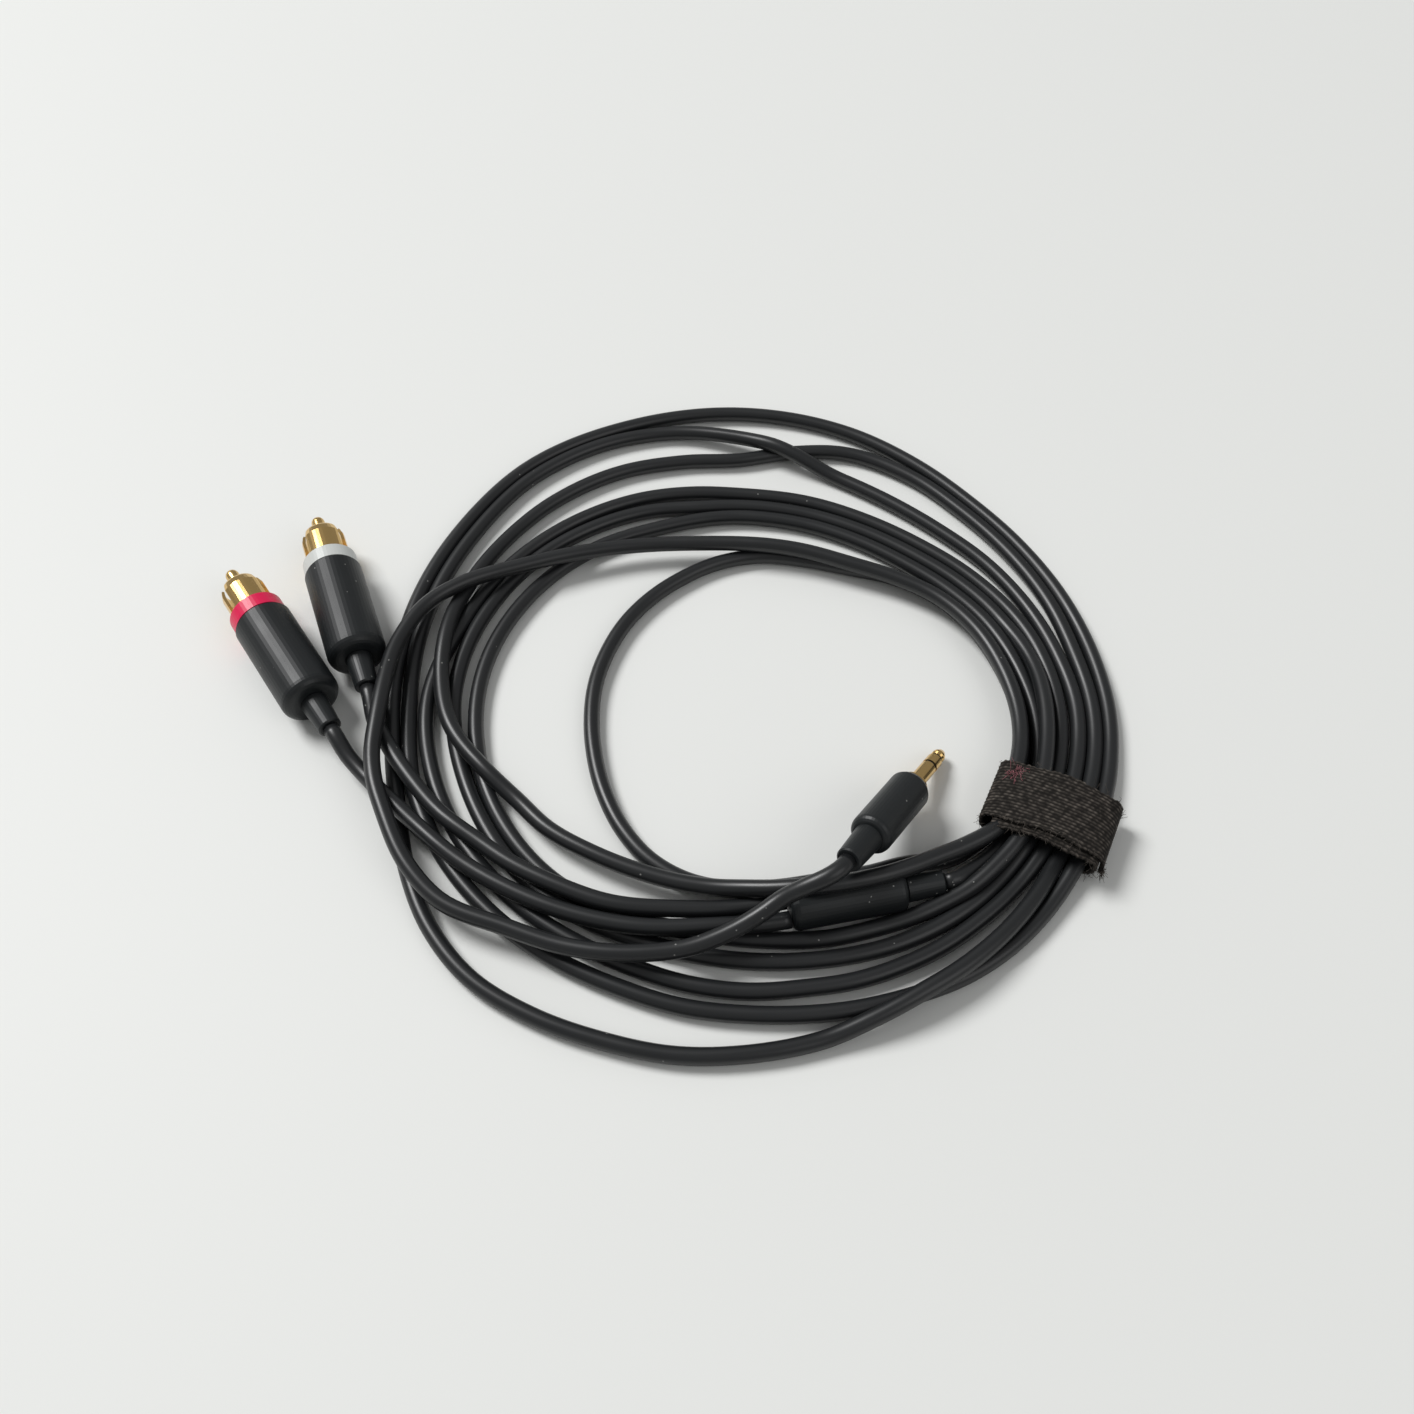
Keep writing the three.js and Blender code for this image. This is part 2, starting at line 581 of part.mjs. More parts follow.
// Put the lead together: plugs and junction first, then the cord between them
function assemble() {
  const stereo = stereoPlug();
  const red = phonoPlug('red', RED_REAR, RED_HEADING, RED, 0.3);
  const white = phonoPlug('white', WHITE_REAR, WHITE_HEADING, PALE, 0.6);
  const split = junction();
  cable.add(stereo.group, red.group, white.group, split.group, tie(), coil());
  cable.add(freeCord('cord_stereo_lead', [...stereo.exit, ...toPoints(STEREO_LEAD)]));
  cable.add(freeCord('cord_inner_loop', toPoints(INNER_LOOP)));
  cable.add(freeCord('cord_inner_turn', toPoints(INNER_TURN)));
  cable.add(freeCord('cord_junction_lead', [...split.mainExit, ...toPoints([JUNCTION_LEAD_END])]));
  cable.add(freeCord('cord_red_lead', branch(red.exit, RED_LEAD, split.redExit)));
  cable.add(freeCord('cord_white_lead', branch(white.exit, WHITE_LEAD, split.whiteExit)));
  cable.position.set(LAYOUT_SHIFT.x, LAYOUT_SHIFT.y, 0);
  cable.updateMatrixWorld(true);
}

assemble();

export default cable;
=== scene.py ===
# %% [markdown]
# # A coiled stereo audio cable
#
# The cable lies on a pale table. Eight turns of round black cord are gathered by a woven
# tie on the right. One end leads over the turns to a 3.5 mm plug, whose tip points down.
# At the other end a moulded junction splits the cord in two, and each branch ends in a
# phono plug. The plugs, the junction and the tie's place come from the CAD frame. This
# script adds the camera, the light, the real cord, and the finish of every surface.

# %%
import math

import bpy
import numpy as np
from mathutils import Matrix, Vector


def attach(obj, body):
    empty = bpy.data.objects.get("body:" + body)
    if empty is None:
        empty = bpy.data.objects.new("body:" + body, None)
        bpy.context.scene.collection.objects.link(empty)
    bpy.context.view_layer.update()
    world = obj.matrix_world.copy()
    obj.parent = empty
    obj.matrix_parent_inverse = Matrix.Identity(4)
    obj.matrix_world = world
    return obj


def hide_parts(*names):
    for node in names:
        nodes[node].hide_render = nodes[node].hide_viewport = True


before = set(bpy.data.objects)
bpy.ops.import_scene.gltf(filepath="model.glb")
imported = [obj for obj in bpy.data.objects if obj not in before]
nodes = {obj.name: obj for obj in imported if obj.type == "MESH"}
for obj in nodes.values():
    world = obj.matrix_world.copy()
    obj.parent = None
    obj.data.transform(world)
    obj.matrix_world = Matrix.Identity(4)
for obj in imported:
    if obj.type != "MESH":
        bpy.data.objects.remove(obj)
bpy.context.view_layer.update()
print("CAD pieces:", len(nodes))

# %% [markdown]
# ## One set of coordinates
#
# The route of the cord was worked out in millimetres round the middle of the photograph.
# The CAD frame has its origin under the middle of the plugs, the junction and the tie, so
# every place below is moved by one constant shift and turned into metres.

# %%
SHIFT = np.array([13.56, 2.91, 0.0])
CORD_D = 3.6
CENTRE = np.array([8.0, -2.0])


def metres(points):
    """Layout millimetres to frame metres: add the shift, then divide by a thousand."""
    return (np.asarray(points, float) + SHIFT) / 1000.0


def heading(turn, dip=0.0):
    """Unit vector of a heading and a dip in degrees: level part by the cosine of the dip."""
    turn, dip = math.radians(turn), math.radians(dip)
    level = math.cos(dip)
    return np.array([level * math.cos(turn), level * math.sin(turn), math.sin(dip)])


# %% [markdown]
# ## The camera
#
# The camera looks down at 54 degrees. Its distance follows from the cord: 3.6 mm of cord
# covers 16 pixels in the middle of the picture, which puts the lens 315 mm away. A longer
# lens from further off would flatten the far side of the coil, so both were fitted to the
# plug's two ends together.

# %%
ELEVATION = 54.0
FOCAL_PX = 1400.0
IMAGE_PX = 1414.0
CORD_PX = 16.0
distance = FOCAL_PX * CORD_D / CORD_PX
camera_data = bpy.data.cameras.new("photo_camera")
camera_data.sensor_width = 36.0
camera_data.sensor_fit = "HORIZONTAL"
camera_data.lens = 36.0 * FOCAL_PX / IMAGE_PX
camera_data.clip_start = 0.01
camera = bpy.data.objects.new("photo_camera", camera_data)
camera.location = Vector(metres(-distance * heading(90.0, -ELEVATION)))
camera.rotation_euler = (math.radians(90.0 - ELEVATION), 0.0, 0.0)
bpy.context.scene.collection.objects.link(camera)
bpy.context.scene.camera = camera
print("camera at", [round(x, 4) for x in camera.location])

# %% [markdown]
# ## Where the pieces lie
#
# These values repeat the CAD source: the plugs' places and headings, and the lengths from
# each to the end of its strain relief. The cord starts there, so they have to agree.

# %%
CLEAR = 0.3
LEAD_OUT = 2.0


def lead_out(point, axis, reach, sense):
    """Two points of a cord leaving a piece: at the reach along the axis, and straight on."""
    start = np.asarray(point, float) + axis * reach
    return [start, start + axis * sense * LEAD_OUT]


stereo_axis = heading(56.5, -19.5)
stereo_exit = lead_out([43.87, -24.45, 6.27], stereo_axis, -(1.4 + 21.0 + 9.0 + CLEAR), -1)
red_axis = heading(124.4)
red_exit = lead_out([-86.4, -3.5, 6.65], red_axis, -(8.5 + CLEAR), -1)
white_axis = heading(110.9)
white_exit = lead_out([-78.3, 8.6, 6.65], white_axis, -(8.5 + CLEAR), -1)
junction_axis = heading(11.6)
junction_side = np.array([-junction_axis[1], junction_axis[0], 0.0])
junction = np.array([28.2, -51.0, 4.5])
main_exit = lead_out(junction, junction_axis, 12.0 + 8.0 + CLEAR, 1)
red_inlet = lead_out(junction - junction_side * 2.15, junction_axis, -(12.0 + CLEAR), -1)
white_inlet = lead_out(junction + junction_side * 2.15, junction_axis, -(12.0 + CLEAR), -1)

# %% [markdown]
# ## The route of the main cord
#
# The main cord turns always the same way round the coil's centre, from the junction to the
# stereo plug. So one smooth curve holds it: the radius as a function of a running angle.
# Each pass is a short list of angles and radii read from the photograph, with a first
# height as third value where a cord starts on top of another. The stretches that
# lie free inside the coil, and the lead to the plug, are lists of points, as in the CAD.
# A physical simulation would give a tidy spiral here, and not the particular crossings that
# the photograph shows, so the route is listed and only its heights are worked out.

# %%
TIE_ANGLE = -25.0
PASSES = [
    [(-31, 64.1), (-19, 64.8), (0, 64.9), (12, 63.6), (24, 62.6), (36, 60.9), (48, 59.3),
     (60, 58.6), (75, 58.7), (90, 59), (110, 58.6), (125, 59.6), (160, 60), (195, 59),
     (228, 58.8), (245, 56.9), (262, 55.6), (275, 56.6), (286, 58.2), (296, 59.3),
     (304, 60.7, 3.2), (312, 61.9, 4), (320, 63.6, 5.2)],
    [(-31, 65.7), (-19, 65.8), (0, 66.3, 5.6), (12, 66.6, 4), (24, 65.4), (36, 63.6), (48, 62),
     (60, 61.6), (75, 61.8), (90, 62.2), (100, 62.8), (110, 64.6), (125, 66), (160, 66),
     (178, 64.8), (195, 63), (230, 61.8), (250, 60.8), (262, 60.8), (270, 61.3), (280, 62.2),
     (288, 63.2), (296, 64.3), (304, 65.1), (312, 65.7), (320, 66.7)],
    [(-31, 67.8), (-19, 68.8), (0, 70.2), (12, 69.8), (24, 68.6), (36, 67), (48, 65.6),
     (60, 65.3), (75, 65.9), (90, 66.5), (100, 68), (110, 69.3), (125, 70), (142, 70),
     (160, 69.9), (178, 70.6), (195, 69.4), (230, 67), (250, 66.6), (260, 67.3), (270, 67.8),
     (280, 68), (288, 68.8), (296, 69.3), (304, 69.8), (312, 70), (320, 70.6)],
    [(-31, 71.4), (-19, 72.8), (0, 74.6), (12, 73.9), (24, 73.6), (36, 73.4), (48, 73.1),
     (60, 74.2), (72, 76.8, 2.6), (80, 79.6, 5), (90, 85, 4.6), (100, 90, 3), (108, 91.3),
     (125, 89.6), (142, 84), (160, 79), (178, 74.8), (195, 74), (230, 72.2), (250, 71.6),
     (260, 72.2), (270, 72.6), (280, 73.6), (288, 74.8), (296, 76), (304, 77.2), (312, 77.9),
     (320, 78.3)],
    [(-31, 78.7), (-19, 79.7), (0, 81), (12, 81.6), (24, 82.5), (36, 83.8), (48, 85.8),
     (60, 89.4), (72, 93.2), (90, 96), (108, 95.3), (125, 92.8), (137, 88.4), (150, 84.3),
     (163, 81), (175, 78.9), (187, 77.4), (199, 78), (211, 81), (221, 83.6), (230, 84.8),
     (240, 84), (250, 82.8), (260, 82), (270, 80.5), (280, 79, 2.4), (288, 77.7, 4.4),
     (296, 76.9, 5.6), (304, 76.7, 5.4), (312, 76.3, 5), (320, 75.7, 4.4)],
    [(-31, 75), (-19, 76.3), (0, 78), (12, 78), (24, 79.2), (36, 80.4), (48, 82.2), (60, 85),
     (72, 85.6), (80, 82.8), (90, 78.9), (100, 79.4), (112, 80.2), (125, 79), (142, 75.6, 3.4),
     (160, 71.2, 5.2), (175, 67.7, 5.6), (186, 64.4, 5.8), (197, 59, 5.4)],
    [(-31, 61.3), (-19, 61.2), (-8, 61.6), (2, 61.5)],
]
SLOT_HEIGHTS = [(3.2, 3.2), (6.4, 6.4), (3.2, 3.2), (3.2, 3.2), (3.2, 3.2), (3.2, 3.2),
                (6.7, 3.2)]
LAST_SLOT = [(-31, 60.5, 3.2), (-19, 61.2, 6.6), (-8, 61.0, 6.6)]

INNER_TURN = [
    (-40.4, -26.8, 4.4), (-33.4, -34, 5), (-24.1, -40, 5.6), (-14.5, -44.4, 5.8),
    (-5, -47.4, 6), (2.2, -48.8, 6.6), (7.6, -49.6, 7.8), (13.2, -50.6, 9.6), (18.6, -51, 11),
    (24, -50.7, 11.3), (29.5, -49.8, 11.3), (35.2, -48.2, 10.9), (40.9, -45.7, 9.9),
    (46.4, -42.8, 8.9), (51.9, -39.9, 8),
]
INNER_LOOP = [
    (66.8, 12.9, 1.8), (62.3, 22.2, 1.8), (54.9, 30.8, 1.8), (45.4, 36.7, 1.8),
    (34.7, 39.8, 1.8), (23.8, 42.6, 1.8), (12.8, 43.9, 1.8), (2.5, 41.6, 1.8),
    (-6.5, 36.4, 1.8), (-13.5, 30.2, 1.8), (-18.6, 23.5, 1.8), (-22.8, 14.5, 1.8),
    (-25.2, 5, 1.8), (-25.6, -5, 1.8), (-24.4, -15, 1.8), (-21.8, -24.5, 1.8),
    (-17.4, -33.6, 1.8), (-11.6, -40.6, 1.8), (-4, -45.3, 1.8), (5, -47.3, 1.8),
    (14.5, -46.9, 1.8), (24, -45.3, 1.8), (33.2, -43.6, 1.8), (41.8, -41.2, 1.9),
    (50.2, -40, 2.3), (55.3, -36.9, 2.8),
]
STEREO_LEAD = [
    (23.6, -52.9, 17.7), (18.9, -54.3, 16.2), (14.5, -55.2, 13.4), (10.7, -57.3, 11.7),
    (3.1, -60.9, 9.6), (-3.3, -63, 8.6), (-12, -64, 8.2), (-20.7, -63.6, 7.8),
    (-27.8, -62.2, 7.4), (-40.1, -57.8, 7.2), (-53.7, -51.9, 7.4), (-60.1, -45.3, 8.2),
    (-67, -32.4, 9.4), (-70.1, -24.4, 9.8),
    (-71.5, -17.3, 9.7), (-71.7, -10.5, 9.8), (-71.6, 0.3, 9.4), (-69.9, 13.6, 8.4),
    (-64.5, 25, 7.8), (-55.5, 32.1, 7.4), (-44.2, 37, 7.2), (-30.5, 41.8, 6.6),
    (-16.1, 44.7, 6), (-3.5, 45.4, 5.9), (7.9, 45.1, 5.9), (21.9, 42.9, 6),
    (34.4, 38.6, 6), (44.6, 34.4, 6), (53.4, 29, 6), (61.4, 19.6, 6.1), (66.6, 6.8, 6.4),
]
RED_LEAD = [
    (-77.8, -15.9, 5.4), (-73.1, -21, 4.6), (-67.4, -27.1, 5.6), (-60.6, -33.8, 5.8),
    (-52.6, -41, 5.9), (-41, -48.6, 6.4), (-28.4, -54.2, 6.6), (-13.2, -57.6, 6.4),
    (-1.4, -57.6, 5.6), (7.5, -57, 4.8),
]
WHITE_LEAD = [
    (-72.6, -7.6, 5.6), (-70.1, -11.9, 5.4), (-63.1, -22.4, 5.8), (-55.2, -31.6, 5.9),
    (-46.8, -38.2, 6.2), (-40, -43.2, 6.6), (-31, -48, 6.8), (-19.3, -52.3, 6.4),
    (-5.4, -53.2, 5.6), (5.6, -52.8, 4.8),
]


def round_centre(points):
    """Points to rows of angle, radius and height about the coil's centre, angles rising."""
    p = np.asarray(points, float)
    turn = np.degrees(np.unwrap(np.arctan2(p[:, 1] - CENTRE[1], p[:, 0] - CENTRE[0])))
    return np.column_stack([turn, np.hypot(*(p[:, :2] - CENTRE).T), p[:, 2]])


def smooth_curve(x, y, at):
    """A cubic through each value of y over x, its slope at a point the mean of both sides
    weighted by the other side's length; read off at the values in at."""
    x, y = np.asarray(x, float), np.asarray(y, float)
    span = np.diff(x)
    wide = span.reshape(-1, *[1] * (y.ndim - 1))
    slope = np.diff(y, axis=0) / wide
    middle = (slope[:-1] * wide[1:] + slope[1:] * wide[:-1]) / (wide[1:] + wide[:-1])
    tangent = np.concatenate([slope[:1], middle, slope[-1:]])
    k = np.clip(np.searchsorted(x, at) - 1, 0, len(x) - 2)
    h = wide[k]
    t = ((at - x[k]) / span[k]).reshape(-1, *[1] * (y.ndim - 1))
    return ((2 * t**3 - 3 * t**2 + 1) * y[k] + (t**3 - 2 * t**2 + t) * h * tangent[k]
            + (3 * t**2 - 2 * t**3) * y[k + 1] + (t**3 - t**2) * h * tangent[k + 1])


def by_length(points, step):
    """The same line with points at an even step along it."""
    p = np.asarray(points, float)
    run = np.concatenate([[0.0], np.cumsum(np.linalg.norm(np.diff(p, axis=0), axis=1))])
    at = np.linspace(0.0, run[-1], int(round(run[-1] / step)) + 1)
    return np.column_stack([np.interp(at, run, p[:, i]) for i in range(3)])


def main_rows():
    """Rows of running angle, radius and first height for the whole main cord."""
    rows = [tuple(r) for r in round_centre(main_exit + [[52.2, -45.4, 4.3]])]
    rest = CORD_D / 2
    for i, (table, slot) in enumerate(zip(PASSES, SLOT_HEIGHTS)):
        for k, (turn, radius, *height) in enumerate(table):
            low = height[0] if height else slot[k] if k < 2 else rest + 0.4
            rows.append((turn + 360 * i, radius, low))
        free = INNER_TURN if i == 5 else INNER_LOOP if i == 6 else None
        if free:
            part = round_centre(free)
            part[:, 0] += 360 * i + (360 if part[0, 0] < -30 else 0)
            rows += [tuple(r) for r in part]
    rows += [(turn + 360 * 7, radius, height) for turn, radius, height in LAST_SLOT]
    lead = round_centre((stereo_exit + [list(p) for p in STEREO_LEAD])[::-1])
    lead[:, 0] += 360 * 7
    rows += [tuple(r) for r in lead]
    return np.array(rows)


rows = main_rows()
assert (np.diff(rows[:, 0]) > 0).all(), rows[:-1][np.diff(rows[:, 0]) <= 0]
angles = np.arange(rows[0, 0], rows[-1, 0], 1.0)
angles = np.append(angles, rows[-1, 0])
curve = smooth_curve(rows[:, 0], rows[:, 1:], angles)
turn = np.radians(angles)
line = np.column_stack([
    CENTRE[0] + curve[:, 0] * np.cos(turn),
    CENTRE[1] + curve[:, 0] * np.sin(turn),
    curve[:, 1],
])
STEP = 2.4
main_line = by_length(line, STEP)


def branch_line(exit_points, points, inlet):
    """A branch from its plug over its chosen points to the junction, at an even step."""
    p = np.array(exit_points + [list(q) for q in points] + inlet[::-1])
    run = np.concatenate([[0.0], np.cumsum(np.linalg.norm(np.diff(p, axis=0), axis=1))])
    fine = smooth_curve(run, p, np.linspace(0.0, run[-1], 200))
    return by_length(fine, STEP)


red_line = branch_line(red_exit, RED_LEAD, red_inlet)
white_line = branch_line(white_exit, WHITE_LEAD, white_inlet)
print("first lengths in mm:", [
    round(float(np.linalg.norm(np.diff(l, axis=0), axis=1).sum()))
    for l in (main_line, red_line, white_line)
])

# %% [markdown]
# ## How the turns lie on each other
#
# Two stretches of cord can't share one place. Starting from the laid route, every pair of
# samples that is closer than one diameter is pushed apart, more up and down than sideways,
# so that what the photograph shows in plan stays. The table holds everything up, the
# junction and its relief push like thick cords, and the samples inside the tie stay
# within its walls. After each push the movement is averaged along the cord, which is what
# its own stiffness does. Gravity is a small steady pull down, and each sample is drawn a
# little towards its laid place, more in height than in plan.

# %%
lines = [main_line, red_line, white_line]
start = np.concatenate(lines)
owner = np.concatenate([np.full(len(l), i) for i, l in enumerate(lines)])
index = np.arange(len(start))
outward = heading(TIE_ANGLE)[:2]
beside = np.array([-outward[1], outward[0]])
from_tie = start[:, :2] - CENTRE
tied = (np.abs(from_tie @ beside) < 7.0) & (from_tie @ outward > 54)
held = np.zeros(len(start), bool)
for i in range(3):
    mine = index[owner == i]
    held[mine[:2]] = True
    held[mine[-2:]] = True

block = np.concatenate([
    junction + junction_axis * np.linspace(-8.6, 8.6, 12)[:, None],
    junction + junction_axis * np.linspace(13.5, 19.0, 4)[:, None],
])
block_size = np.concatenate([np.full(12, 4.5), np.full(4, 2.9)]) + CORD_D / 2 + 0.1
ends = np.array([l[j] for l in lines for j in (0, -1)])
near_end = np.array([np.linalg.norm(start - e, axis=1) < 14 for e in ends]).any(0)

WIDTH = 3.62
PUSH = np.array([0.42, 0.42, 0.8])
PULL_DOWN = 0.02
KEPT = (0.995, 0.995, 0.985)
ROUNDS = 400
REACH = 8.0
TIE_WALLS = (60.4, 79.8)
TIE_FLOOR, TIE_ROOF = 3.1, 6.6


def near_pairs(points, reach):
    """Index pairs of samples within reach of each other, but not along the same cord."""
    found = []
    for low in range(0, len(points), 200):
        gap = points[low:low + 200, None, :] - points[None, :, :]
        i, j = np.nonzero((gap**2).sum(2) < reach**2)
        i += low
        apart = (owner[i] != owner[j]) | (np.abs(i - j) > 6)
        found.append(np.column_stack([i, j])[(i < j) & apart])
    return np.concatenate(found)


def spread(pairs, values):
    """The sum of each pair's value on its first sample, less it on its second."""
    total = np.zeros_like(start)
    for k in range(3):
        total[:, k] = (np.bincount(pairs[:, 0], values[:, k], len(start))
                       - np.bincount(pairs[:, 1], values[:, k], len(start)))
    return total


moved = np.zeros_like(start)
inner = (owner[1:-1] == owner[:-2]) & (owner[1:-1] == owner[2:])
for step in range(ROUNDS):
    now = start + moved
    if step % 50 == 0:
        pairs = near_pairs(now, REACH)
        first, second = held[pairs[:, 0]], held[pairs[:, 1]]
    gap = now[pairs[:, 0]] - now[pairs[:, 1]]
    apart = np.sqrt((gap**2).sum(1)) + 1e-6
    short = np.clip(WIDTH - apart, 0.0, None)
    push = gap * (short / apart)[:, None] * PUSH * np.where(first | second, 0.95, 0.5)[:, None]
    crowd = np.bincount(pairs.ravel(), np.repeat(short > 0, 2), len(start))
    push = spread(pairs, push) / np.maximum(1.0, crowd * 0.55)[:, None]
    away = now[:, None, :] - block[None, :, :]
    far = np.sqrt((away**2).sum(2)) + 1e-6
    press = np.where((far < block_size) & ~near_end[:, None], (block_size - far) / far, 0.0)
    press = press[:, :, None] * away
    moved += push + 0.4 * (press.max(1) + press.min(1))
    moved[:, 2] -= PULL_DOWN
    moved *= KEPT
    moved[held] = 0.0
    soft = moved.copy()
    soft[1:-1][inner] = (moved[:-2] + 2 * moved[1:-1] + moved[2:])[inner] / 4
    moved = np.where(held[:, None], 0.0, soft)
    moved[:, 2] = np.maximum(moved[:, 2], CORD_D / 2 - start[:, 2])
    out = (from_tie + moved[:, :2])[tied] @ outward
    moved[tied, :2] += (np.clip(out, *TIE_WALLS) - out)[:, None] * outward
    moved[tied, 2] = np.clip(start[tied, 2] + moved[tied, 2], TIE_FLOOR, TIE_ROOF) - start[tied, 2]
settled = start + moved
pairs = near_pairs(settled, REACH)
apart = np.linalg.norm(settled[pairs[:, 0]] - settled[pairs[:, 1]], axis=1)
print("samples", len(start), "closest pair", round(float(apart.min()), 2),
      "pairs under 3.2 mm", int((apart < 3.2).sum()),
      "highest", round(float(settled[:, 2].max()), 1))
main_line, red_line, white_line = [settled[owner == i] for i in range(3)]

# %% [markdown]
# ## The cord as a surface
#
# A cord is a ring of points carried along its line. A curve object with a round bevel would
# be shorter to write, but a grid made here is closed at its ends, and has a texture map
# whose second number is the length along the cord, for whoever repaints it. The line never
# stands upright, so the ring can be set up from the world's up direction alone.

# %%
SIDES = 16


def cord_surface(name, points, diameter, step=1.5):
    """A closed tube: for the ring angle a, each point is the line plus half the diameter
    times (cos a times the level side plus sin a times the upward side), and two fans close
    the ends. The grid's first index runs along the line, its second round it."""
    p = np.asarray(points, float)
    run = np.concatenate([[0.0], np.cumsum(np.linalg.norm(np.diff(p, axis=0), axis=1))])
    at = np.linspace(0.0, run[-1], int(run[-1] / step) + 1)
    p = smooth_curve(run, p, at)
    tangent = np.gradient(p, axis=0)
    tangent /= np.linalg.norm(tangent, axis=1, keepdims=True)
    side = np.cross(tangent, [0.0, 0.0, 1.0])
    side /= np.linalg.norm(side, axis=1, keepdims=True)
    up = np.cross(side, tangent)
    a = np.arange(SIDES) * 2 * np.pi / SIDES
    ring = (side[:, None, :] * np.cos(a)[None, :, None]
            + up[:, None, :] * np.sin(a)[None, :, None]) * diameter / 2
    grid = (p[:, None, :] + ring).reshape(-1, 3)
    n = len(p)
    verts = np.concatenate([grid, p[:1], p[-1:]])
    i = np.arange(n - 1)[:, None] * SIDES
    j = np.arange(SIDES)[None, :]
    k = (j + 1) % SIDES
    quads = np.stack([i + j, i + SIDES + j, i + SIDES + k, i + k], axis=2).reshape(-1, 4)
    j = np.arange(SIDES)
    k = (j + 1) % SIDES
    end_ring = (n - 1) * SIDES
    first = np.column_stack([np.full(SIDES, n * SIDES), j, k])
    last = np.column_stack([np.full(SIDES, n * SIDES + 1), end_ring + k, end_ring + j])
    mesh = bpy.data.meshes.new(name)
    mesh.from_pydata(metres(verts).tolist(), [], quads.tolist() + first.tolist() + last.tolist())
    mesh.polygons.foreach_set("use_smooth", np.ones(len(mesh.polygons), bool))
    around = np.append(np.tile(np.arange(SIDES) / SIDES, n), [0.5, 0.5])
    along = np.append(np.repeat(at, SIDES), [0.0, at[-1]])
    loops = np.zeros(len(mesh.loops), np.int32)
    mesh.loops.foreach_get("vertex_index", loops)
    map_ = mesh.uv_layers.new(name="along")
    map_.data.foreach_set("uv", np.column_stack([around[loops], along[loops] / 10]).ravel())
    obj = bpy.data.objects.new(name, mesh)
    bpy.context.scene.collection.objects.link(obj)
    return obj, metres(p)


main_cord, main_path = cord_surface("main_cord", main_line, CORD_D)
red_cord, red_path = cord_surface("red_branch_cord", red_line, CORD_D)
white_cord, white_path = cord_surface("white_branch_cord", white_line, CORD_D)


def path_length(path):
    return float(np.linalg.norm(np.diff(path, axis=0), axis=1).sum())


print("cords in metres:", [round(path_length(p), 3) for p in (main_path, red_path, white_path)])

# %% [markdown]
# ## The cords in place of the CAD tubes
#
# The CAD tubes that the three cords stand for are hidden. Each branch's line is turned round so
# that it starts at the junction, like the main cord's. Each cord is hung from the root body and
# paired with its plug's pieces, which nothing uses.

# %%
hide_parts("cord_coil", "cord_stereo_lead", "cord_inner_loop",
            "cord_inner_turn", "cord_junction_lead")
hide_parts("cord_red_lead")
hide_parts("cord_white_lead")
stereo_pieces = [o for n, o in nodes.items() if n.startswith("stereo_plug_")]
red_pieces = [o for n, o in nodes.items() if n.startswith("red_plug_")]
white_pieces = [o for n, o in nodes.items() if n.startswith("white_plug_")]
red_path, white_path = red_path[::-1], white_path[::-1]
for obj, path, plug, lay in (
    (main_cord, main_path, stereo_pieces, "coiled"),
    (red_cord, red_path, red_pieces, "loose"),
    (white_cord, white_path, white_pieces, "loose"),
):
    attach(obj, "root")

# %% [markdown]
# ## The woven tie
#
# The CAD tie is a plain band, so a ribbon takes its place. It runs one and a half times
# round the cords: the outer layer comes over the top from its free tip at the lower right,
# and the inner layer lies below it and sticks out a little at the near edge. The ribs along
# its length are real relief and not a bump map, because the edge of the tie shows them in
# outline. Short fibres stand along the frayed edge.

# %%
TIE_RADIUS = 70.1
TIE_HALF = np.array([11.55, 3.6])
TIE_MIDDLE = 4.6
TIE_WIDTH = 14.5
TIE_POWER = 2.6
TIP_ANGLE, INNER_END = -20.0, 505.0
INNER_LAYER, LAYER_STEP = 0.5, 1.05
TIP_LIFT = 0.9
INNER_SLIP = 1.6
RIB = 0.8
STITCH = 1.3
RIB_HEIGHT = 0.16
GRID_STEP = 0.24
TABLE_GAP = 0.03


def tie_section(phi):
    """Section points at the angles phi: each half size plus the layer's offset, times the
    cosine or sine raised to 2 / TIE_POWER with its sign kept. The offset falls from the
    outer layer to the inner one between 160 and 205 degrees, and rises at the tip."""
    a = np.radians(phi)
    fall = np.clip((phi - 160) / 45, 0, 1)
    layer = (INNER_LAYER + LAYER_STEP * (1 - fall * fall * (3 - 2 * fall))
             + TIP_LIFT * np.exp(-(phi - TIP_ANGLE) / 9))
    c, s = np.cos(a), np.sin(a)
    x = (TIE_HALF[0] + layer) * np.sign(c) * np.abs(c) ** (2 / TIE_POWER)
    z = TIE_MIDDLE + (TIE_HALF[1] + layer) * np.sign(s) * np.abs(s) ** (2 / TIE_POWER)
    return np.column_stack([x, z])


def tie_points(section, u):
    """Section points at the distance u along the cords, as layout points."""
    flat = CENTRE + outward * (TIE_RADIUS + section[..., :1]) + beside * u[..., None]
    return np.concatenate([flat, section[..., 1:]], axis=-1)


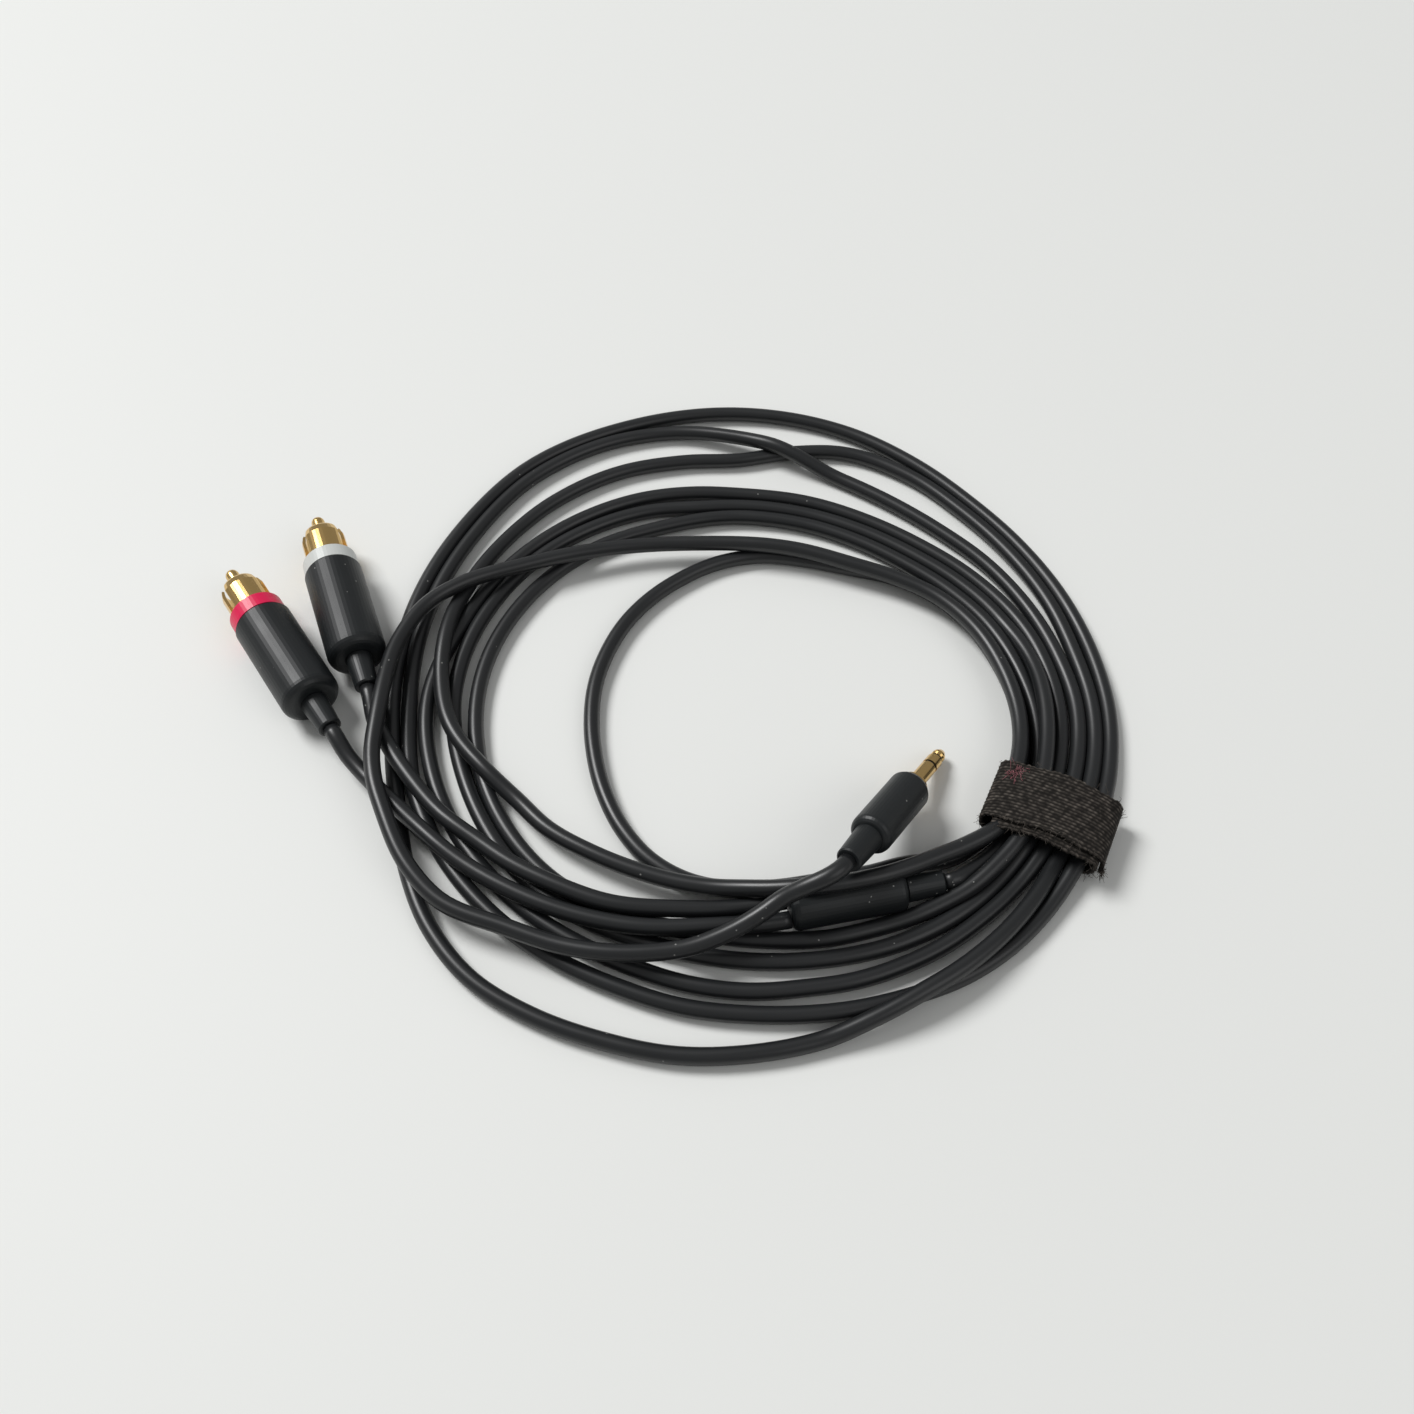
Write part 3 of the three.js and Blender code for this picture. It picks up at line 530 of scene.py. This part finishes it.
fine_phi = np.linspace(TIP_ANGLE, INNER_END, 4000)
fine_path = tie_section(fine_phi)
fine_run = np.concatenate([[0.0], np.cumsum(np.linalg.norm(np.diff(fine_path, axis=0), axis=1))])
tie_length = float(fine_run[-1])
along = np.linspace(0.0, tie_length, int(tie_length / GRID_STEP))
path = np.column_stack([np.interp(along, fine_run, fine_path[:, i]) for i in range(2)])
phi = np.interp(along, fine_run, fine_phi)
slope = np.gradient(path, axis=0)
slope /= np.linalg.norm(slope, axis=1, keepdims=True)
normal = np.column_stack([slope[:, 1], -slope[:, 0]])
slip = -INNER_SLIP * np.clip((phi - 200) / 200, 0, 1)
ragged = (0.35 * np.sin(along * 0.42 + 0.6) + 0.1 * np.sin(along * 2.3)
          + 0.08 * np.sin(along * 5.9 + 1))
upper = np.linspace(-0.5, 0.5, 91) * TIE_WIDTH
lower = np.linspace(0.5, -0.5, 12) * TIE_WIDTH
u = np.concatenate([upper, lower])
is_upper = np.arange(len(u)) < len(upper)
rib = 0.5 + 0.5 * np.cos(2 * np.pi * u / RIB)
row = np.round(u / RIB)
stitch = np.cos(2 * np.pi * along[:, None] / STITCH + 0.5 * np.pi * row[None, :])
ridge = np.where(is_upper, rib * (0.68 + 0.32 * stitch), 0.0)
thick = np.where(is_upper, 0.36, -0.45) + RIB_HEIGHT * ridge
edge = np.abs(u) / (TIE_WIDTH / 2)
across = u[None, :] + slip[:, None] + ragged[:, None] * edge**6
section = path[:, None, :] + normal[:, None, :] * thick[:, :, None]
section[..., 1] = np.maximum(section[..., 1], TABLE_GAP)
ribbon = tie_points(section, across)
rings, around = ribbon.shape[:2]
i = np.arange(rings - 1)[:, None] * around
j = np.arange(around)[None, :]
k = (j + 1) % around
quads = np.stack([i + j, i + k, i + around + k, i + around + j], axis=2).reshape(-1, 4)
caps = [list(range(around - 1, -1, -1)), list(range((rings - 1) * around, rings * around))]

# %% [markdown]
# ### Its loose fibres
#
# Each fibre is a bent three-sided thread, closed at both ends. Most stand along the near
# edge and the tip, and the first ones form the pinkish fluff at the far inner corner.

# %%
rng = np.random.default_rng(7)
FIBRES = 420
FLUFF = 70
FIBRE_RADIUS = 0.045
station = np.where(rng.random(FIBRES) < 0.8,
                   rng.uniform(0, rings - 1, FIBRES), rng.uniform(0, 10, FIBRES)).astype(int)
near_side = rng.random(FIBRES) < 0.75
root_u = np.where(near_side, -TIE_WIDTH / 2, TIE_WIDTH / 2) * rng.uniform(0.96, 1.0, FIBRES)
fluff = np.arange(FIBRES) < FLUFF
station[fluff] = np.interp(rng.normal(130, 5, FLUFF), phi, np.arange(rings)).astype(int)
root_u[fluff] = rng.normal(4.4, 0.9, FLUFF)
pink = fluff.astype(float)
root = tie_points(path[station] + normal[station] * 0.45, root_u + slip[station])
push_out = np.where(near_side, -1.0, 1.0)[:, None] * np.append(beside, 0.0)
stray = rng.normal(0, 0.55, (FIBRES, 3))
lift = np.column_stack([normal[station, :1] * outward, normal[station, 1]])
reach = rng.uniform(0.35, 1.3, FIBRES)[:, None]
first_way = push_out + stray + 0.35 * lift
second_way = first_way + rng.normal(0, 0.7, (FIBRES, 3))
spine = np.stack([root, root + first_way * reach * 0.5,
                  root + first_way * reach * 0.5 + second_way * reach * 0.45], axis=1)
fibre_way = spine[:, 2] - spine[:, 0]
fibre_way /= np.linalg.norm(fibre_way, axis=1, keepdims=True)
helper = np.where(np.abs(fibre_way[:, 2:]) > 0.9, [1.0, 0.0, 0.0], [0.0, 0.0, 1.0])
fibre_side = np.cross(fibre_way, helper)
fibre_side /= np.linalg.norm(fibre_side, axis=1, keepdims=True)
fibre_up = np.cross(fibre_way, fibre_side)
third = np.arange(3) * 2 * np.pi / 3
ring = (fibre_side[:, None, :] * np.cos(third)[None, :, None]
        + fibre_up[:, None, :] * np.sin(third)[None, :, None]) * FIBRE_RADIUS
fibre = (spine[:, :, None, :] + ring[:, None, :, :]).reshape(-1, 3)
fibre[:, 2] = np.maximum(fibre[:, 2], TABLE_GAP)
base = np.arange(FIBRES)[:, None, None] * 9
m = np.arange(2)[None, :, None] * 3
n3 = np.arange(3)[None, None, :]
n4 = (n3 + 1) % 3
strands = np.stack([base + m + n3, base + m + n4, base + m + 3 + n4, base + m + 3 + n3],
                   axis=3).reshape(-1, 4)
fibre_ends = (np.arange(FIBRES)[:, None, None] * 9 + [[2, 1, 0], [6, 7, 8]]).reshape(-1, 3)


def tie_piece(name, points, faces, ridges, tints):
    """One mesh of the tie, with its thread height and its tint kept at each vertex."""
    mesh = bpy.data.meshes.new(name)
    mesh.from_pydata(metres(points).tolist(), [], faces)
    mesh.polygons.foreach_set("use_smooth", np.ones(len(mesh.polygons), bool))
    for key, values in (("ridge", ridges), ("tint", tints)):
        mesh.attributes.new(key, "FLOAT", "POINT").data.foreach_set("value", values)
    obj = bpy.data.objects.new(name, mesh)
    bpy.context.scene.collection.objects.link(obj)
    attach(obj, "root")
    return obj


woven_tie = tie_piece("woven_tie", ribbon.reshape(-1, 3), quads.tolist() + caps,
                      ridge.ravel(), np.zeros(rings * around))
tie_fibres = tie_piece("tie_fibres", fibre, strands.tolist() + fibre_ends.tolist(),
                       np.full(len(fibre), 0.9), np.repeat(pink, 9))
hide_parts("hook_and_loop_tie")
print("tie length in mm:", round(tie_length, 1), "faces:", len(woven_tie.data.polygons))

# %% [markdown]
# ## Surfaces
#
# The jacket and the grips share one worn look, kept as a node group: hands leave broad
# soft patches that shine differently, and a few specks of dust catch the light. A picture
# texture would tie the finish to one layout, so both come from noise in object coordinates.


# %%
def principled(name, color, roughness, metallic=0.0):
    """A new material with one Principled shader; returns both."""
    material = bpy.data.materials.new(name)
    material.use_nodes = True
    shader = material.node_tree.nodes["Principled BSDF"]
    shader.inputs["Base Color"].default_value = (*color, 1.0)
    shader.inputs["Roughness"].default_value = roughness
    shader.inputs["Metallic"].default_value = metallic
    return material, shader


def worn_group():
    """Base colour and roughness for handled black plastic: roughness is the base plus a
    slow noise, and the colour turns to dust where small cells and a sparse mask meet."""
    group = bpy.data.node_groups.new("worn_black", "ShaderNodeTree")
    for name, kind, value in (("Color", "NodeSocketColor", (0.015, 0.015, 0.016, 1)),
                              ("Roughness", "NodeSocketFloat", 0.42),
                              ("Smudge", "NodeSocketFloat", 0.14)):
        socket = group.interface.new_socket(name, in_out="INPUT", socket_type=kind)
        socket.default_value = value
    group.interface.new_socket("Color", in_out="OUTPUT", socket_type="NodeSocketColor")
    group.interface.new_socket("Roughness", in_out="OUTPUT", socket_type="NodeSocketFloat")
    n, link = group.nodes, group.links.new
    given, result = n.new("NodeGroupInput"), n.new("NodeGroupOutput")
    place = n.new("ShaderNodeTexCoord")
    slow = n.new("ShaderNodeTexNoise")
    slow.inputs["Scale"].default_value = 90
    cells = n.new("ShaderNodeTexVoronoi")
    cells.inputs["Scale"].default_value = 420
    sparse = n.new("ShaderNodeTexNoise")
    sparse.inputs["Scale"].default_value = 45
    for texture in (slow, cells, sparse):
        link(place.outputs["Object"], texture.inputs["Vector"])
    near = n.new("ShaderNodeMath")
    near.operation = "LESS_THAN"
    near.inputs[1].default_value = 0.075
    link(cells.outputs["Distance"], near.inputs[0])
    few = n.new("ShaderNodeMath")
    few.operation = "GREATER_THAN"
    few.inputs[1].default_value = 0.585
    link(sparse.outputs["Fac"], few.inputs[0])
    both = n.new("ShaderNodeMath")
    both.operation = "MULTIPLY"
    link(near.outputs[0], both.inputs[0])
    link(few.outputs[0], both.inputs[1])
    dust = n.new("ShaderNodeMix")
    dust.data_type = "RGBA"
    dust.inputs[7].default_value = (0.22, 0.22, 0.21, 1)
    link(both.outputs[0], dust.inputs[0])
    link(given.outputs["Color"], dust.inputs[6])
    link(dust.outputs[2], result.inputs["Color"])
    shift = n.new("ShaderNodeMath")
    shift.operation = "SUBTRACT"
    shift.inputs[1].default_value = 0.5
    link(slow.outputs["Fac"], shift.inputs[0])
    vary = n.new("ShaderNodeMath")
    vary.operation = "MULTIPLY_ADD"
    link(shift.outputs[0], vary.inputs[0])
    link(given.outputs["Smudge"], vary.inputs[1])
    link(given.outputs["Roughness"], vary.inputs[2])
    link(vary.outputs[0], result.inputs["Roughness"])
    return group


worn = worn_group()


def worn_black(name, color, roughness, specular):
    """A black material whose colour and roughness come from the worn group."""
    material, shader = principled(name, color, roughness)
    shader.inputs["Specular IOR Level"].default_value = specular
    nodes_, link = material.node_tree.nodes, material.node_tree.links.new
    use = nodes_.new("ShaderNodeGroup")
    use.node_tree = worn
    use.inputs["Color"].default_value = (*color, 1.0)
    use.inputs["Roughness"].default_value = roughness
    link(use.outputs["Color"], shader.inputs["Base Color"])
    link(use.outputs["Roughness"], shader.inputs["Roughness"])
    return material


jacket = worn_black("jacket", (0.012, 0.013, 0.014), 0.36, 0.5)
grip = worn_black("grip", (0.010, 0.012, 0.013), 0.42, 0.4)
gold, _ = principled("gold", (0.74, 0.50, 0.20), 0.2, 1.0)
insulator, _ = principled("insulator", (0.012, 0.012, 0.012), 0.6)
red_band, _ = principled("red_band", (0.72, 0.004, 0.075), 0.36)
pale_band, _ = principled("pale_band", (0.60, 0.62, 0.60), 0.36)
fabric, fabric_shader = principled("fabric", (0.030, 0.026, 0.022), 0.95)
fabric_shader.inputs["Specular IOR Level"].default_value = 0.2
fabric_nodes, fabric_link = fabric.node_tree.nodes, fabric.node_tree.links.new
ridge_value, tint_value = [fabric_nodes.new("ShaderNodeAttribute") for _ in range(2)]
ridge_value.attribute_name, tint_value.attribute_name = "ridge", "tint"
# Thread colour follows the rib height. It is near black in the grooves between ribs and on the
# ribbon's underside, and grey-brown on the rib tops: painted shade in the grooves and under the
# tie. Random patches make the threads lighter or darker at random.
groove_shade_and_threads = fabric_nodes.new("ShaderNodeMix")
groove_shade_and_threads.data_type = "RGBA"
groove_shade_and_threads.inputs[6].default_value = (0.008, 0.007, 0.006, 1)
groove_shade_and_threads.inputs[7].default_value = (0.120, 0.104, 0.090, 1)
patches = fabric_nodes.new("ShaderNodeTexNoise")
patches.inputs["Scale"].default_value = 700
patches.inputs["Detail"].default_value = 4
uneven = fabric_nodes.new("ShaderNodeMapRange")
uneven.inputs["From Min"].default_value = 0.38
uneven.inputs["From Max"].default_value = 0.66
uneven.inputs["To Min"].default_value = 0.15
uneven.inputs["To Max"].default_value = 1.15
patchy_ridge_shade = fabric_nodes.new("ShaderNodeMath")
patchy_ridge_shade.operation = "MULTIPLY"
place = fabric_nodes.new("ShaderNodeTexCoord")
fabric_link(place.outputs["Object"], patches.inputs["Vector"])
fabric_link(patches.outputs["Fac"], uneven.inputs["Value"])
fabric_link(uneven.outputs["Result"], patchy_ridge_shade.inputs[0])
fabric_link(ridge_value.outputs["Fac"], patchy_ridge_shade.inputs[1])
blush = fabric_nodes.new("ShaderNodeMix")
blush.data_type = "RGBA"
blush.inputs[7].default_value = (0.35, 0.14, 0.16, 1)
fabric_link(patchy_ridge_shade.outputs[0], groove_shade_and_threads.inputs[0])
fabric_link(tint_value.outputs["Fac"], blush.inputs[0])
fabric_link(groove_shade_and_threads.outputs[2], blush.inputs[6])
fabric_link(blush.outputs[2], fabric_shader.inputs["Base Color"])

finish = {
    "tip": gold, "ring": gold, "sleeve": gold, "pin": gold, "shell": gold,
    "insulator": insulator, "housing": grip, "relief": grip, "body": grip,
    "tie": fabric,
}
for name, obj in nodes.items():
    if name.startswith("cord_"):
        continue
    material = next(m for key, m in finish.items() if name.endswith(key)) \
        if not name.endswith("band") else (red_band if name.startswith("red") else pale_band)
    obj.data.materials.clear()
    obj.data.materials.append(material)
for obj in (main_cord, red_cord, white_cord):
    obj.data.materials.append(jacket)
for obj in (woven_tie, tie_fibres):
    obj.data.materials.append(fabric)

# %% [markdown]
# ## The table and the light
#
# A large soft lamp stands to the upper left, as the photograph's highlights and shadows
# show, with a weak wide one from the right. The world is white for the camera alone, and
# dimmer for reflections and for the light it gives, or the black jackets would turn grey.

# %%
floor_mesh = bpy.data.meshes.new("table")
floor_mesh.from_pydata([(-2, -2, 0), (2, -2, 0), (2, 2, 0), (-2, 2, 0)], [], [(0, 1, 2, 3)])
floor = bpy.data.objects.new("table", floor_mesh)
floor.location.z = -0.0002
bpy.context.scene.collection.objects.link(floor)
paint, paint_shader = principled("table_paint", (0.80, 0.81, 0.79), 0.6)
floor_mesh.materials.append(paint)


def lamp(name, place, aim, size, power):
    data = bpy.data.lights.new(name, "AREA")
    data.shape = "DISK"
    data.size = size
    data.energy = power
    obj = bpy.data.objects.new(name, data)
    obj.location = place
    obj.rotation_euler = (Vector(aim) - Vector(place)).to_track_quat("-Z", "Y").to_euler()
    bpy.context.scene.collection.objects.link(obj)
    return obj


lamp("window", (-2.2, 1.4, 3.0), (0, 0, 0), 1.7, 130)
lamp("fill", (1.4, -1.0, 1.6), (0, 0, 0), 1.6, 7)

world = bpy.data.worlds.new("room")
bpy.context.scene.world = world
world.use_nodes = True
tree = world.node_tree
back = tree.nodes["Background"]
back.inputs["Color"].default_value = (1.0, 1.0, 1.0, 1.0)
rays = tree.nodes.new("ShaderNodeLightPath")
mix = tree.nodes.new("ShaderNodeMapRange")
mix.inputs["To Min"].default_value = 0.3
mix.inputs["To Max"].default_value = 1.0
tree.links.new(rays.outputs["Is Camera Ray"], mix.inputs["Value"])
tree.links.new(mix.outputs["Result"], back.inputs["Strength"])
bpy.context.scene.view_settings.view_transform = "Standard"
